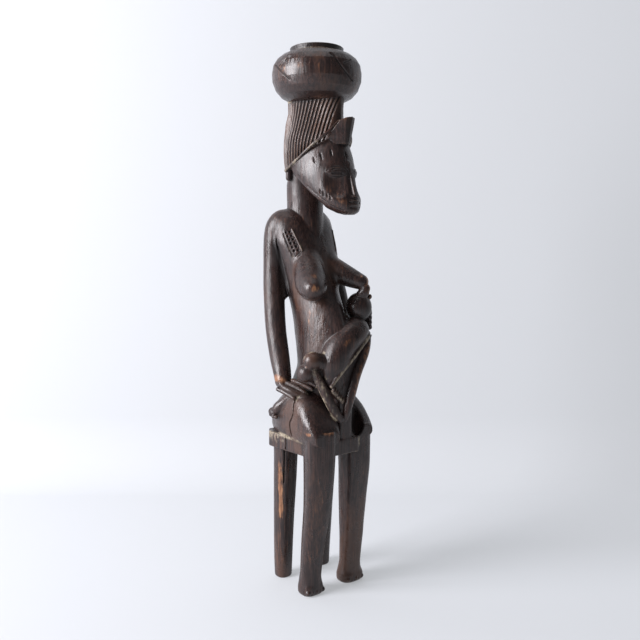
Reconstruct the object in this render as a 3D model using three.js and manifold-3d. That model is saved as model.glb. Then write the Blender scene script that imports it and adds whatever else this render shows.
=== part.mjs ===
// A seated woman nursing a child, with a bowl on her tall hair, carved with her four-legged stool
// from one block of dark wood. Millimetres, +Z up. She faces -Y and her right side is at -X.
import * as THREE from 'three';
import { mergeVertices } from 'three/addons/utils/BufferGeometryUtils.js';
import Module from 'manifold-3d';

const wasm = await Module();
wasm.setup();

// Driving dimensions. The shift brings the middle of the figure's box over the origin.
const HEIGHT = 699;
const FOOTPRINT_SHIFT = [0, 8.1, 0];
const HEAD_YAW = THREE.MathUtils.degToRad(9);

const BOWL = { y: -2, outer: 57, lip: 32.6, mouth: 26.5, bottom: 634, wall: 9 };
const HAIR = {
  halfWidth: 30, frontReach: 38.5, backReach: 37, flutes: 30, fluteDepth: 2.4, plainBand: 17, lean: 0.28,
};
const SEAT = { top: 205, bottom: 185 };
const NECK = { y: 24, radius: 23.8 };
const KNEE_FRONT = { right: -68, left: -58 };
const FOOT = { across: 32, ahead: 31, height: 26, toeGap: 1.6 };

// The head has its own forward and sideways directions, because it is turned to her left.
const HEAD = {
  origin: new THREE.Vector3(0, 15, 0),
  side: new THREE.Vector3(Math.cos(HEAD_YAW), Math.sin(HEAD_YAW), 0),
  front: new THREE.Vector3(Math.sin(HEAD_YAW), -Math.cos(HEAD_YAW), 0),
};
const BODY = {
  origin: new THREE.Vector3(0, 0, 0),
  side: new THREE.Vector3(1, 0, 0),
  front: new THREE.Vector3(0, -1, 0),
};
const UP = new THREE.Vector3(0, 0, 1);
const RIGHTWARD = new THREE.Vector3(1, 0, 0);

function solid(geometry) {
  const bare = geometry.clone();
  bare.deleteAttribute('normal');
  bare.deleteAttribute('uv');
  const merged = mergeVertices(bare, 1e-4);
  return new wasm.Manifold(new wasm.Mesh({
    numProp: 3,
    vertProperties: new Float32Array(merged.attributes.position.array),
    triVerts: new Uint32Array(merged.index.array),
  }));
}

function join(...bodies) {
  return bodies.flat().reduce((whole, body) => whole.add(body));
}

const power = (value, n) => Math.sign(value) * Math.abs(value) ** (2 / n);

// A closed body through rings. A ring has a centre, a side and a front direction, half its width,
// its reach to the front and to the back, and a power that makes it round (2) or square (more).
// A carve function may change a point of the round section before the ring shapes it.
function loft(rings, sides, carve) {
  const shape = new THREE.CylinderGeometry(1, 1, 1, sides, rings.length - 1);
  const place = shape.attributes.position;
  const point = new THREE.Vector3();
  for (let i = 0; i < place.count; i++) {
    const level = place.getY(i) + 0.5;
    const ring = rings[Math.round(level * (rings.length - 1))];
    point.set(place.getX(i), 0, place.getZ(i));
    if (carve) carve(point, level);
    const ahead = point.z > 0;
    const n = (ahead ? ring.n : ring.backN ?? ring.n) ?? 2;
    const x = power(point.x, n);
    const z = power(point.z, n);
    const reach = ahead ? ring.frontReach : ring.backReach;
    point.copy(ring.centre)
      .addScaledVector(ring.side, x * ring.halfWidth)
      .addScaledVector(ring.front, z * reach);
    place.setXYZ(i, point.x, point.y, point.z);
  }
  return solid(shape);
}

// Level sections, from below upwards: height, place across, place to the front, half width,
// reach to the front, reach to the back, power, and power at the back where it differs.
function stack(sections, sides, frame = BODY, carve = undefined) {
  return loft(sections.map(([z, across, ahead, halfWidth, frontReach, backReach, n, backN]) => ({
    centre: frame.origin.clone()
      .addScaledVector(frame.side, across)
      .addScaledVector(frame.front, ahead)
      .setZ(z),
    side: frame.side,
    front: frame.front,
    halfWidth,
    frontReach,
    backReach,
    n,
    backN,
  })), sides, carve);
}

// A rounded limb along a smooth curve. Each stop is x, y, z and radius. Thin flattens the limb
// in the direction of its front, which is square to the curve and to the given side. Ends are the
// parts of a radius at which an end's sections stand.
function limb(stops, { sides = 12, steps = 8, thin = 1, side = RIGHTWARD, ends = [0, 1] } = {}) {
  const route = new THREE.CatmullRomCurve3(stops.map(([x, y, z]) => new THREE.Vector3(x, y, z)));
  const girth = new THREE.CatmullRomCurve3(stops.map((stop) => new THREE.Vector3(stop[3], 0, 0)));
  const length = route.getLength();
  const first = stops[0][3] / length * thin;
  const last = stops[stops.length - 1][3] / length * thin;
  const places = ends.map((part) => [part * first, part]);
  for (let i = 1; i < steps; i++) {
    places.push([first + (1 - first - last) * i / steps, 1]);
  }
  places.push(...ends.toReversed().map((part) => [1 - part * last, part]));
  return loft(places.map(([along, part]) => {
    const stop = THREE.MathUtils.clamp(along, 0, 1);
    const tangent = route.getTangentAt(stop);
    const front = side.clone().cross(tangent).normalize();
    const across = tangent.clone().cross(front).normalize();
    const radius = girth.getPoint(route.getUtoTmapping(stop)).x;
    const swell = Math.max(Math.sqrt(1 - (1 - part) ** 2), 0.9 / ends.length);
    return {
      centre: route.getPointAt(stop),
      side: across,
      front,
      halfWidth: radius * swell,
      frontReach: radius * swell * thin,
      backReach: radius * swell * thin,
    };
  }), sides);
}

function ball([x, y, z], [rx, ry, rz], sides = 14) {
  return solid(new THREE.SphereGeometry(1, sides, Math.round(sides * 0.6))
    .scale(rx, rz, ry).rotateX(Math.PI / 2).translate(x, y, z));
}

// A point of the head: across to her left, ahead, and the height.
function onHead(across, ahead, z) {
  return HEAD.origin.clone()
    .addScaledVector(HEAD.side, across)
    .addScaledVector(HEAD.front, ahead)
    .setZ(z);
}

const headStop = (across, ahead, z, radius) => [...onHead(across, ahead, z).toArray(), radius];

// A box between two ends, used as a cutter for a notch or a groove.
function bar(from, to, width, depth, facing) {
  const run = to.clone().sub(from);
  const along = run.clone().normalize();
  const across = along.clone().cross(facing).normalize();
  const out = across.clone().cross(along).normalize();
  const turn = new THREE.Matrix4().makeBasis(across, along, out)
    .setPosition(from.clone().add(to).multiplyScalar(0.5));
  return solid(new THREE.BoxGeometry(width, run.length(), depth).applyMatrix4(turn));
}

function bowl() {
  const outer = [
    [0, BOWL.bottom - 3], [33, BOWL.bottom - 2.5], [48, 641.5], [BOWL.outer - 1, 655],
    [BOWL.outer + 0.3, 667], [54, 681.5], [45, 690.5], [36, 695], [BOWL.lip + 0.4, 696],
    [BOWL.lip, HEIGHT], [BOWL.mouth + 1.5, HEIGHT],
  ];
  const hollow = [
    [BOWL.mouth, 697], [BOWL.mouth + 0.5, 692], [40, 683.5], [BOWL.outer - BOWL.wall, 668],
    [42, 654], [26, 647], [0, 645.5],
  ];
  const profile = [...outer, ...hollow].map(([r, z]) => new THREE.Vector2(r, z));
  return solid(new THREE.LatheGeometry(profile, 28).rotateX(Math.PI / 2).translate(0, BOWL.y, 0));
}

// The hairline in the head's side view: how far ahead and how high.
const HAIRLINE = [
  [-60, 536], [-13, 546], [3, 553], [20, 562], [36, 573.5], [50, 583], [60, 594], [63, 607], [90, 660],
];

// Everything below the hairline, or everything above it, as a cutter right through the head.
function hairlineCutter(farZ) {
  const corners = [...HAIRLINE, [90, farZ], [-60, farZ]];
  const outline = new THREE.Shape(corners.map(([x, y]) => new THREE.Vector2(x, y)));
  const turn = new THREE.Matrix4().makeBasis(HEAD.front, UP, HEAD.side.clone().negate());
  return solid(new THREE.ExtrudeGeometry(outline, { depth: 120, bevelEnabled: false })
    .translate(0, 0, -60).applyMatrix4(turn).translate(...HEAD.origin.toArray()));
}

// The hair rises in flutes to the bowl, with a plain band at the front, and leans back at the nape.
function hair() {
  const step = Math.PI / HAIR.flutes;
  const plain = THREE.MathUtils.degToRad(HAIR.plainBand);
  const column = stack([
    [542, 0, -8, 30, 24, 19, 2.2], [562, 0, -3, 33, 38, 26, 2.2], [582, 0, 5, 34.5, 49, 36, 2.2],
    [604, 0, 10, 31.5, 42, 41, 2.2], [622, 0, 11, HAIR.halfWidth, HAIR.frontReach, HAIR.backReach, 2.2],
    [646, 0, 13, 32, 38.5, 37, 2.2],
  ], 2 * HAIR.flutes, HEAD, (point, level) => {
    const size = point.length();
    if (size < 0.5) return;
    const angle = Math.atan2(point.x, point.z);
    const isGroove = Math.abs(Math.round(angle / step)) % 2 === 1 && Math.abs(angle) > plain;
    const leaning = angle + HAIR.lean * (1 - level) * Math.sin(angle);
    const reach = isGroove ? 1 - HAIR.fluteDepth / HAIR.halfWidth : 1;
    point.set(reach * Math.sin(leaning), 0, reach * Math.cos(leaning));
  });
  return column.subtract(hairlineCutter(500));
}

function hairlineCord(side) {
  return limb([
    headStop(side * 30, -13, 546, 2.2), headStop(side * 34.5, 3, 553, 2.2),
    headStop(side * 35, 20, 562, 2.2), headStop(side * 32.5, 36, 574.5, 2.2),
    headStop(side * 27, 49, 583, 2.2), headStop(side * 17, 58, 594, 2.2), headStop(side * 8, 60, 606, 2.2),
  ], { sides: 6, steps: 7 });
}

// The face comes forward to the chin, with the jaw's edge rising to the nape.
function face() {
  const mask = stack([
    [489, 0, 71, 6, 6, 8, 2, 2], [492, 0, 69, 13, 11.5, 16, 2, 2.5], [497, 0, 61, 20, 21, 16, 2, 3],
    [503, 0, 54, 25, 28, 12, 2, 3.5], [510, 0, 46, 29, 34.5, 10, 2.1, 4], [519, 0, 37, 32, 40.5, 11, 2.1, 4],
    [530, 0, 29, 34.5, 46, 16, 2.1, 3.8], [543, 0, 21, 36, 51, 25, 2.1, 3.2],
    [558, 0, 16, 35.5, 51.5, 36, 2.1, 2.3], [572, 0, 14, 33.5, 49, 42, 2.1], [584, 0, 13, 30, 44, 41, 2.1],
    [596, 0, 14, 24, 37, 40, 2.1],
  ], 22, HEAD).subtract(hairlineCutter(700));
  const nose = loft([
    [508, 75, 6.6, 8], [512, 75, 6.2, 8.5], [519, 73, 4.2, 7.5], [534, 70, 3.2, 7.5], [547, 68, 3, 7],
    [556, 64, 3, 6],
  ].map(([z, ahead, halfWidth, reach]) => ({
    centre: onHead(0, ahead, z),
    side: HEAD.side,
    front: HEAD.front,
    halfWidth,
    frontReach: reach,
    backReach: reach,
    n: 2.6,
  })), 10);
  const lips = [503, 497.5].map((z) => ball(onHead(0, 77, z).toArray(), [10.5, 7.5, 3.2], 10));
  const eyes = [-1, 1].map((side) => {
    const eye = ball([0, 0, 0], [14.5, 3.8, 7], 10);
    const place = onHead(side * 20, 61.5, 542.5);
    return eye.rotate([0, 0, side * 41 + 9]).translate(place.toArray());
  });
  const slits = [-1, 1].flatMap((side) => {
    const outward = HEAD.side.clone().multiplyScalar(side * 0.65).addScaledVector(HEAD.front, 0.76);
    const eyeSlit = bar(onHead(side * 29, 57, 541.4), onHead(side * 14, 72, 541.4), 2.2, 5, outward);
    const brow = [[34.5, 34, 561], [31, 41, 565], [25, 49, 567], [11, 60, 565]].map(([across, ahead, z]) => {
      const low = onHead(side * across, ahead + 6, z - 5);
      return bar(low, onHead(side * across, ahead + 4, z + 5), 2, 8, outward);
    });
    const cheek = [0, 1, 2, 3].map((i) => {
      const low = onHead(side * (31 - i * 1.8), 44 + i * 3.4, 509 - i);
      return bar(low, onHead(side * (31.5 - i * 1.8), 44 + i * 3.4, 519 - i), 1.6, 8, outward);
    });
    return [eyeSlit, ...brow, ...cheek];
  });
  return join(mask, nose, lips, eyes).subtract(join(slits));
}

// The crest stands out over the brow like a prow.
function crest() {
  const shape = new THREE.BoxGeometry(1, 1, 1, 1, 1, 1);
  const corners = { low: [27, 49, 583, 5.5, 66, 576], high: [9, 56, 609, 5.5, 74.5, 608] };
  const place = shape.attributes.position;
  for (let i = 0; i < place.count; i++) {
    const [wideBack, back, zBack, wideFront, front, zFront] = place.getZ(i) > 0 ? corners.high : corners.low;
    const side = Math.sign(place.getX(i));
    const point = place.getY(i) < 0
      ? onHead(side * wideFront, front, zFront)
      : onHead(side * wideBack, back, zBack);
    place.setXYZ(i, point.x, point.y, point.z);
  }
  return solid(shape);
}

function napeLock(side) {
  return limb([headStop(side * 27, -10, 549, 4), headStop(side * 27, -11, 535, 3.2)], { sides: 6, steps: 1 });
}

function neck() {
  const { y, radius } = NECK;
  return stack([
    [456, 0, -y, radius - 8, radius - 3, radius - 8, 2], [470, 0, -y, radius - 1, radius + 1, radius - 2, 2],
    [505, 0, -y, radius, radius, radius, 2], [528, 0, -y, radius + 1, radius, radius - 1, 2],
    [549, 0, 8 - y, radius + 1, radius, radius - 6, 2],
  ], 16);
}

function torso() {
  return stack([
    [196, 0, 3, 42, 46, 42, 2.4], [225, 0, 0, 41, 44, 40, 2.4], [252, 0, 2, 38, 43, 40, 2.2],
    [275, 0, 8, 33, 42, 39, 2.1], [297, 0, 13, 29, 42, 38, 2], [318, 0, 13, 28.5, 45, 42, 2],
    [340, 0, 11, 28.5, 47, 45, 2], [357, 0, 8, 29, 45, 45, 2], [374, 0, 2, 30, 43, 43, 2],
    [394, 0, -7, 32.5, 39, 39, 2.1], [418, 0, -14, 37, 38, 37, 2.2], [440, -1, -20, 41.5, 36, 35, 2.3],
    [458, -2, -25, 45, 32, 30, 2.3], [474, -2, -28, 44, 28, 26, 2.3], [486, -2, -29, 40, 24, 23, 2.2],
    [494, -1, -29, 34, 18, 19, 2.1], [498.5, -1, -29, 26, 14, 15, 2],
  ], 22);
}

// Her breasts point outwards as well as ahead. The child drinks from the left one.
function breasts() {
  const right = limb([[-15, -6, 413, 24], [-23, -26, 406, 25], [-33, -45, 403, 15], [-37, -53, 402.5, 7]],
    { sides: 13, steps: 4, ends: [0, 0.3, 1] });
  const left = limb([[16, -6, 423, 18], [24, -23, 414, 17.5], [35, -41, 406, 12.5], [41.5, -52.5, 401.5, 8]],
    { sides: 11, steps: 4, ends: [0, 0.3, 1] });
  return [right, left];
}

// The wood between each upper arm and the ribs is left standing down to the elbow's height.
function arms() {
  const right = limb([
    [-22, 30, 488, 11], [-31.5, 34, 479, 17], [-36, 39, 463, 16.3], [-37.5, 41, 430, 14.5],
    [-40, 39, 390, 14], [-43, 31.5, 345, 13.5], [-45, 20, 308, 13], [-47, 10, 287, 12], [-48, 7, 278, 10],
  ], { sides: 10, steps: 9 });
  const left = limb([
    [22, 32, 487, 11], [32, 35, 478, 16], [38.5, 39, 458, 15.5], [45, 33, 422, 14], [49.5, 22, 388, 13.5],
    [50, 13, 362, 13], [50, 2, 348, 12.5], [50, -14, 348, 11.5], [50.5, -29, 353, 10],
  ], { sides: 10, steps: 9 });
  const armpits = [-1, 1].map((at) => limb([
    [at * 31, 34, 452, 8], [at * 32, 31, 412, 8], [at * 31, 28, 380, 6.5],
  ], { sides: 7, steps: 2 }));
  return [right, left, ...armpits];
}

// Her right hand lies on the thigh. Each finger goes from a knuckle to a tip.
function rightHand() {
  const fingers = [
    [[-57, 6, 266], [-52, -22.5, 258]], [[-54.5, 1, 270], [-47.5, -27, 261.5]],
    [[-51, -4, 274], [-40, -29, 265]], [[-47, -8, 278], [-35, -37, 270]], [[-42, -12, 281], [-30, -38, 273]],
  ];
  const palm = limb([[-48, 13, 282, 11], [-49.5, 4, 275.5, 13.5], [-49, -6, 271.5, 13]], {
    sides: 8, steps: 2, thin: 0.6, side: new THREE.Vector3(0.54, -0.65, 0.54).normalize(),
  });
  return [palm, ...fingers.map(([[x0, y0, z0], [x1, y1, z1]]) => limb([
    [x0, y0, z0, 4.4], [(x0 + x1) / 2, (y0 + y1) / 2, (z0 + z1) / 2 + 1.5, 4], [x1, y1, z1, 3.2],
  ], { sides: 5, steps: 2 }))];
}

// Her left hand holds the child's head from outside, with four fingers round it.
function leftHand() {
  const palm = limb([[50, -24, 352, 10], [50.5, -33, 359, 12], [51, -40, 364, 12]], {
    sides: 8, steps: 2, thin: 0.55, side: UP,
  });
  return [palm, ...[0, 1, 2, 3].map((i) => limb([
    [51, -37, 372 - 5 * i, 4.2], [52, -45, 368 - 6.5 * i, 4], [49.5, -51, 360 - 6 * i, 3.2],
  ], { sides: 5, steps: 2 }))];
}

// Sections from the buttock to the knee: place to the front, across, top, underside, half width, power.
function thigh(side, kneeFront, kneeDrop) {
  const sections = [
    [-46, 22, 214, 204, 8, 2], [-44, 23, 228, 199, 16, 2], [-37, 25, 242, 195, 21, 2],
    [-22, 28, 257, 193, 24, 2.1], [-2, 31, 263, 193, 25, 2.2], [20, 32, 261, 193, 24, 2.3],
    [38, 33, 252, 195, 23, 2.4],
    [54, 33, 240, 199, 21, 2.6], [63, 32.5, 231, 200, 18.8, 3], [67.8, 32.5, 222, 205, 17.5, 3],
  ];
  const firstDrop = 3;
  const turn = 20;
  const stretch = (-kneeFront - turn) / (-KNEE_FRONT.right - turn);
  return loft(sections.map(([ahead, across, top, low, halfWidth, n], i) => {
    const drop = Math.max(i - firstDrop, 0) / (sections.length - 1 - firstDrop);
    const high = top - kneeDrop * Math.sin(Math.PI * drop) - kneeDrop * 0.3 * drop;
    return {
      centre: new THREE.Vector3(
        side * across, -(ahead < turn ? ahead : turn + (ahead - turn) * stretch), (high + low) / 2),
      side: new THREE.Vector3(-1, 0, 0),
      front: UP,
      halfWidth: halfWidth - kneeDrop * 0.15 * drop,
      frontReach: (high - low) / 2,
      backReach: (high - low) / 2,
      n,
    };
  }), 14);
}

// Her shins are the stool's front legs, and stand on feet with toes.
function shin(side, kneeFront, outward) {
  const top = -(kneeFront + 18);
  const foot = side * FOOT.across - 1 + outward;
  const leg = stack([
    [3, foot, FOOT.ahead, 12.5, 13, 12.5, 2.4], [24, foot, FOOT.ahead + 1, 13.5, 13, 13, 2.4],
    [70, side * 33 + outward, (FOOT.ahead + top) / 2 - 3, 15, 14.5, 14.5, 2.4],
    [120, side * 33 + outward / 2, top - 4, 17, 16.5, 16.5, 2.4], [170, side * 33, top, 19, 18, 18, 2.5],
    [200, side * 32.5, top, 19.5, 18.3, 18.5, 2.8], [213, side * 32.5, top, 19.3, 18.2, 18, 3],
    [219.5, side * 32, top, 17, 17.5, 14, 3],
  ], 14);
  const sole = stack([
    [0, foot, FOOT.ahead, 14.5 + outward, 14.5, 13, 2.8],
    [7, foot, FOOT.ahead, 15.5 + outward, 15.5, 13.5, 2.8],
    [16, foot, FOOT.ahead, 14.5 + outward / 2, 14, 13.5, 2.5],
    [FOOT.height, foot, FOOT.ahead, 12.5, 12.5, 12.5, 2.4],
  ], 14);
  const tip = -FOOT.ahead - 17;
  const gaps = [-2, -0.7, 0.7, 2].map((place) => bar(
    new THREE.Vector3(foot + place * 4.4, tip, -1), new THREE.Vector3(foot + place * 4.4, tip, 13),
    FOOT.toeGap, 9, new THREE.Vector3(0, -1, 0)));
  return leg.add(sole).subtract(join(gaps));
}

function rearPost(side) {
  return stack([
    [0, side * 32.5, -32, 9.5, 9.5, 9.5, 2.4], [4, side * 32.5, -32, 11, 11, 11, 2.4],
    [80, side * 33, -29, 13, 13, 13, 2.4], [150, side * 33, -25, 14.8, 14.8, 14.8, 2.4],
    [195, side * 33, -23, 15.5, 15.5, 15.5, 2.4],
  ], 12);
}

function seat() {
  const outline = new THREE.Shape([
    [-46, -56], [46, -56], [51, 26], [44, 46], [-45, 46], [-53, 34], [-53, 24],
  ].map(([x, y]) => new THREE.Vector2(x, y)));
  const edge = 1.5;
  return solid(new THREE.ExtrudeGeometry(outline, {
    depth: SEAT.top - SEAT.bottom - 2 * edge,
    bevelSize: edge,
    bevelThickness: edge,
    bevelOffset: -edge,
    bevelSegments: 1,
  }).translate(0, 0, SEAT.bottom + edge));
}

// The wood left standing between the knees carries the child's foot and arm.
function web() {
  return stack([
    [198, 3, 52, 10, 9, 40, 3], [225, 3, 53, 10, 9, 40, 3], [250, 1, 54, 10, 9, 40, 3],
    [268, 1, 54, 9, 9, 30, 2.6], [284, 5, 52, 8, 8, 20, 2.4],
  ], 12);
}

function child() {
  const head = ball([39.2, -41.5, 371.5], [16.3, 16.3, 18], 12);
  const mouth = limb([[38, -46, 381, 9.5], [38.5, -51, 391, 7], [40, -53, 399, 5]], { sides: 8, steps: 2 });
  const ear = ball([46, -52, 384], [3, 3.4, 3.4], 6);
  const body = limb([
    [36, -45, 352, 11], [31, -48, 340, 16], [22, -50, 326, 17], [3, -49, 310, 16], [-19, -48, 292, 16],
    [-26, -44, 286, 13],
  ], { sides: 10, steps: 6 });
  const arm = limb([
    [38, -55, 338, 10], [38, -58, 324, 9.5], [20, -61, 302, 11], [4, -62, 280, 14.5], [-2, -61, 264, 14.5],
  ], { sides: 10, steps: 5, thin: 0.65 });
  const nearLeg = [
    limb([[-20, -44, 300, 11], [-34, -44, 305, 9.5], [-45, -42, 302, 8]], { sides: 9, steps: 2 }),
    limb([
      [-45, -42, 302, 7.5], [-38, -48, 286, 6.6], [-28, -55, 268, 7], [-16, -60, 252, 7], [-5, -61, 239, 6],
    ], { sides: 9, steps: 5 }),
  ];
  const farLeg = limb([
    [-24, -36, 288, 13], [-34, -24, 276, 10], [-41, -8, 261, 8.5], [-47, 2, 251, 8], [-53, 9, 242, 7.5],
    [-56.5, 14, 233, 7],
  ], { sides: 9, steps: 6 });
  const farFoot = limb([[-55, 9, 232, 6], [-56, 18, 235, 6.5], [-57, 24, 236, 5]], { sides: 8, steps: 1 });
  return [head, mouth, ear, body, arm, ...nearLeg, farLeg, farFoot];
}

// The patch of raised scars on each side of the chest is a grooved border round two rows of notches.
function scarCuts(side) {
  const corner = (along, across) => new THREE.Vector3(
    side * (37.5 - 15 * along - 11 * across), -0.5 - 17 * along - 7 * across, 466 - 33 * along + 6 * across);
  const facing = new THREE.Vector3(side * 0.55, -0.8, 0.1).normalize();
  const cuts = [0, 1].map((edge) => bar(corner(0, edge), corner(1, edge), 1.3, 7, facing));
  for (let row = 0; row < 5; row++) {
    for (let column = 0; column < 2; column++) {
      const along = 0.07 + row * 0.19;
      const across = 0.3 + column * 0.38;
      cuts.push(bar(corner(along, across), corner(along + 0.12, across), 3.2, 7, facing));
    }
  }
  return cuts;
}

const carved = join(
  bowl(), hair(), hairlineCord(-1), hairlineCord(1), face(), crest(), napeLock(-1), napeLock(1),
  neck(), torso(), breasts(), arms(), rightHand(), leftHand(),
  thigh(-1, KNEE_FRONT.right, 0), thigh(1, KNEE_FRONT.left, 12),
  shin(-1, KNEE_FRONT.right, 0), shin(1, KNEE_FRONT.left, 2),
  rearPost(-1), rearPost(1), seat(), web(), child(),
).subtract(join(scarCuts(-1), scarCuts(1)));

function toGeometry(body) {
  const mesh = body.getMesh();
  const geometry = new THREE.BufferGeometry();
  const points = new Float32Array(mesh.numVert * 3);
  for (let i = 0; i < mesh.numVert; i++) {
    for (let k = 0; k < 3; k++) points[3 * i + k] = mesh.vertProperties[i * mesh.numProp + k];
  }
  geometry.setAttribute('position', new THREE.BufferAttribute(points, 3));
  geometry.setIndex(new THREE.BufferAttribute(new Uint32Array(mesh.triVerts), 1));
  geometry.computeVertexNormals();
  return geometry;
}

const wood = new THREE.MeshStandardMaterial({ color: 0x2b211d, roughness: 0.5, metalness: 0 });
const figure = new THREE.Mesh(toGeometry(carved), wood);
figure.name = 'maternity_figure';

figure.position.set(...FOOTPRINT_SHIFT);

const group = new THREE.Group();
group.add(figure);

export default group;
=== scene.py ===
"""A seated woman nursing a child, carved with her stool and a bowl from one block of dark wood.

The carving is worked out in millimetres as a field that is below zero inside the wood, in which
the parts blend into one another as they do under a knife, and then becomes one mesh in metres.
"""
import math

import bpy
import numpy as np
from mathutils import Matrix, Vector


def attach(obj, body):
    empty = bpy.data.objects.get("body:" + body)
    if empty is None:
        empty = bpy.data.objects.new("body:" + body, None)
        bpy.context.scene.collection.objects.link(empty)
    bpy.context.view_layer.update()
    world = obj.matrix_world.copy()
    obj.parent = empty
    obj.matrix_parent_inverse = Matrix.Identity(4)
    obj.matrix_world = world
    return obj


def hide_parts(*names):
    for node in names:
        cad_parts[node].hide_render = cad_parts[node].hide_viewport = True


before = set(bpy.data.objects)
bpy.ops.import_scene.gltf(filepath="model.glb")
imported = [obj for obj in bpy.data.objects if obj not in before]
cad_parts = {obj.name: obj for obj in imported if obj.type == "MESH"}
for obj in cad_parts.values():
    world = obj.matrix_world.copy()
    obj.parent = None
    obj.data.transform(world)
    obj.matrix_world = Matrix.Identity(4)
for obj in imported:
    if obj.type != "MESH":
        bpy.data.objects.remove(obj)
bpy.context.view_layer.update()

MM = 0.001
FOOTPRINT_SHIFT = (0.0, 8.1, 0.0)
GRID = 0.72
TRIANGLES = 197000

HEIGHT = 699.0
HEAD_YAW = math.radians(9)
BOWL = {"y": -2.0, "outer": 57.0, "lip": 34.2, "mouth": 26.5, "bottom": 634.0, "wall": 9.0}
SEAT = {"top": 205.0, "bottom": 185.0}
NECK = {"y": 24.0, "radius": 23.8}
KNEE_FRONT = {"right": -68.0, "left": -58.0}
FOOT = {"across": 32.0, "ahead": 31.0, "height": 26.0}
FLUTES = {"count": 46, "depth": 2.0, "lean": 0.0105, "plain_band": 0.16, "fade": 0.04, "level": 622}
FINE_BLUR = 1.0
BROAD_BLUR = 3.2
FIELD_LIMIT = 6.0

HEAD = {
    "origin": (0.0, 15.0),
    "side": (math.cos(HEAD_YAW), math.sin(HEAD_YAW)),
    "front": (math.sin(HEAD_YAW), -math.cos(HEAD_YAW)),
}
BODY = {"origin": (0.0, 0.0), "side": (1.0, 0.0), "front": (0.0, -1.0)}
EYE = {"across": 14.2, "ahead": 61.3, "z": 541.4, "turn": 36.5, "wide": 16.6, "deep": 7.0, "high": 8.4}


def on_head(across, ahead, z):
    """A point of the head: across to her left, ahead, and the height."""
    ox, oy = HEAD["origin"]
    sx, sy = HEAD["side"]
    fx, fy = HEAD["front"]
    return (ox + across * sx + ahead * fx, oy + across * sy + ahead * fy, z)


def head_stop(across, ahead, z, radius):
    return (*on_head(across, ahead, z), radius)


def curve_through(t, knots, values):
    """A smooth curve through the knots, without overshoot, read at t."""
    knots = np.asarray(knots, float)
    values = np.asarray(values, float)
    step = np.diff(knots)
    slope = np.diff(values) / step
    tangent = np.zeros_like(values)
    same_way = slope[1:] * slope[:-1] > 0
    mean = 2 * slope[1:] * slope[:-1] / np.where(same_way, slope[1:] + slope[:-1], 1)
    tangent[1:-1] = np.where(same_way, mean, 0)
    tangent[0] = slope[0]
    tangent[-1] = slope[-1]
    t = np.clip(t, knots[0], knots[-1])
    i = np.clip(np.searchsorted(knots, t) - 1, 0, len(step) - 1)
    s = (t - knots[i]) / step[i]
    return (
        values[i] * (1 + 2 * s) * (1 - s) ** 2
        + tangent[i] * step[i] * s * (1 - s) ** 2
        + values[i + 1] * s ** 2 * (3 - 2 * s)
        - tangent[i + 1] * step[i] * s ** 2 * (1 - s)
    ).astype(np.float32)


def length_of(*parts):
    return np.sqrt(sum(part * part for part in parts))


class Window:
    """The grid points inside a box, as three arrays that broadcast against each other."""

    def __init__(self, block, low, high):
        first = [max(int((low[a] - block.low[a]) / GRID), 0) for a in range(3)]
        last = [min(int((high[a] - block.low[a]) / GRID) + 2, block.shape[a]) for a in range(3)]
        self.place = tuple(slice(first[a], last[a]) for a in range(3))
        self.x = block.axes[0][self.place[0]].reshape(-1, 1, 1)
        self.y = block.axes[1][self.place[1]].reshape(1, -1, 1)
        self.z = block.axes[2][self.place[2]].reshape(1, 1, -1)


class Block:
    """The block of wood: the distance to the carved surface at every grid point."""

    margin = 7.0

    def __init__(self, low, high):
        self.low = np.asarray(low, float)
        self.shape = tuple(int((high[a] - low[a]) / GRID) + 1 for a in range(3))
        self.axes = [
            (low[a] + GRID * np.arange(self.shape[a])).astype(np.float32) for a in range(3)
        ]
        self.field = np.full(self.shape, self.margin, np.float32)

    def add(self, shape, blend=2.0):
        field, low, high = shape
        window = self.window(low, high)
        body = np.minimum(field(window), self.margin)
        here = self.field[window.place]
        overlap = np.maximum(blend - np.abs(here - body), 0) / blend
        self.field[window.place] = np.minimum(here, body) - overlap * overlap * blend / 4

    def cut(self, shape, blend=0.6):
        field, low, high = shape
        window = self.window(low, high)
        tool = -field(window)
        here = self.field[window.place]
        overlap = np.maximum(blend - np.abs(here - tool), 0) / blend
        self.field[window.place] = np.maximum(here, tool) + overlap * overlap * blend / 4

    def window(self, low, high):
        return Window(self, np.asarray(low) - self.margin, np.asarray(high) + self.margin)

    def sample(self, points, values=None):
        """Values of the field, or of another grid, at points, by blending the eight nearest."""
        values = self.field if values is None else values
        cell = (points - self.low) / GRID
        base = np.clip(np.floor(cell).astype(np.int64), 0, np.array(self.shape) - 2)
        part = np.clip(cell - base, 0, 1)
        total = np.zeros(len(points))
        for corner in range(8):
            offset = np.array([corner & 1, corner >> 1 & 1, corner >> 2 & 1])
            weight = np.prod(np.where(offset, part, 1 - part), axis=1)
            at = base + offset
            total += weight * values[at[:, 0], at[:, 1], at[:, 2]]
        return total

    def slope(self, points, reach=0.5):
        steps = np.eye(3) * GRID * reach
        ahead = [self.sample(points + step) for step in steps]
        behind = [self.sample(points - step) for step in steps]
        return (np.array(ahead) - np.array(behind)).T / (2 * GRID * reach)


def true_distance(value):
    """Turns any value that is zero on a surface into a distance from it, near the surface."""
    steps = np.gradient(value, GRID)
    return value / np.maximum(length_of(*steps), 0.15)


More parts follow.
